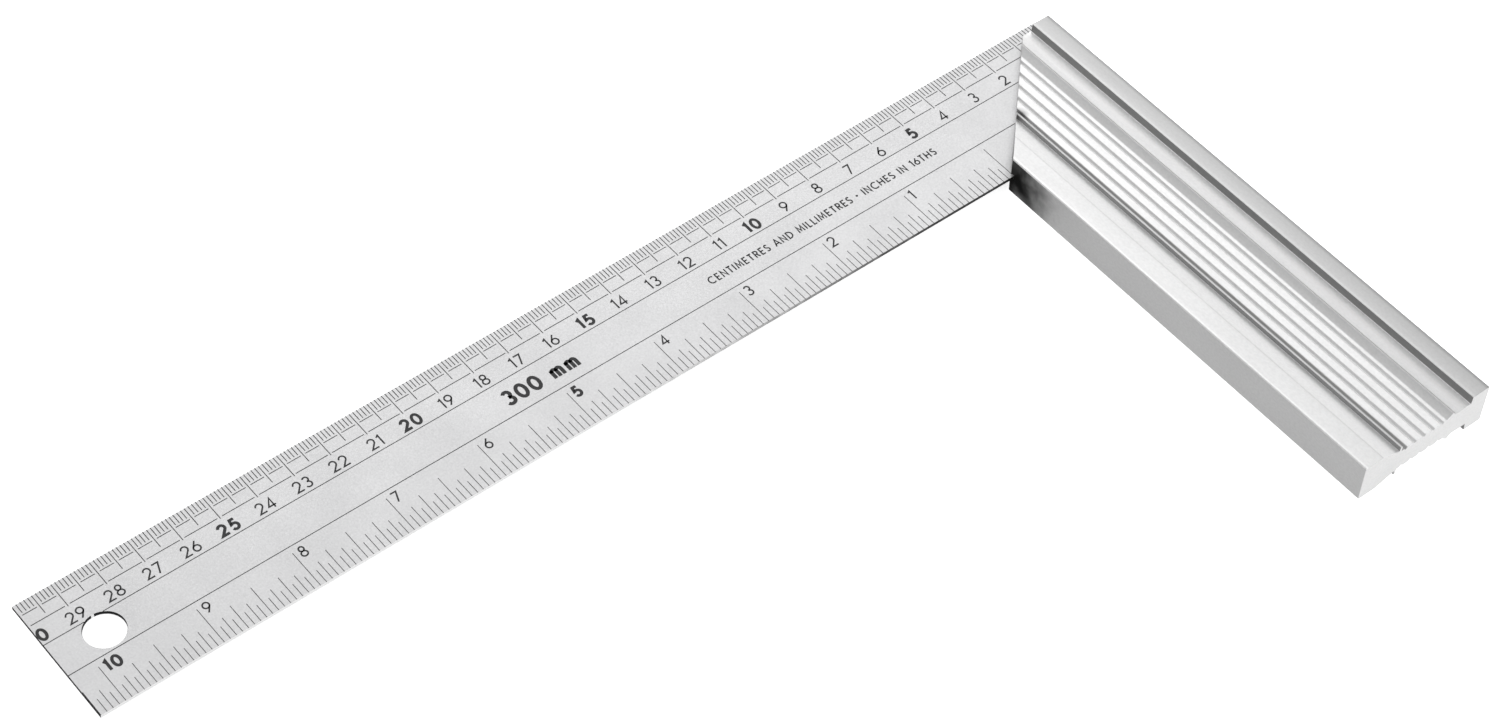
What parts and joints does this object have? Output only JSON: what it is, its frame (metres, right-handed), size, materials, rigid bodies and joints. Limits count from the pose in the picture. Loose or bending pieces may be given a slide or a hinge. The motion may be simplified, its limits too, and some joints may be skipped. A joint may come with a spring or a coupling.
{
  "type": "graduated angle square",
  "caption": "L-shaped try square: a flat graduated steel blade with a hang hole, set at a right angle in a mitred, ribbed aluminium stock.",
  "frame": {"origin": "inside corner, where the blade's inner edge meets the stock's inner face, on the blade's mid-plane", "axes": "+X along the blade to its tip, +Y along the stock away from the blade, +Z out of the upper graduated face"},
  "size_m": [0.3, 0.1538, 0.0118],
  "materials": {
    "blade_steel": "matte satin stainless",
    "stock_aluminium": "satin clear anodised",
    "bond_adhesive": "cured epoxy",
    "scale_ink": "matte black print on the blade"
  },
  "bodies": {
    "root": {"blade": "blade_steel", "stock": "stock_aluminium", "bond_film_upper": "bond_adhesive", "bond_film_lower": "bond_adhesive"}
  },
  "joints": []
}
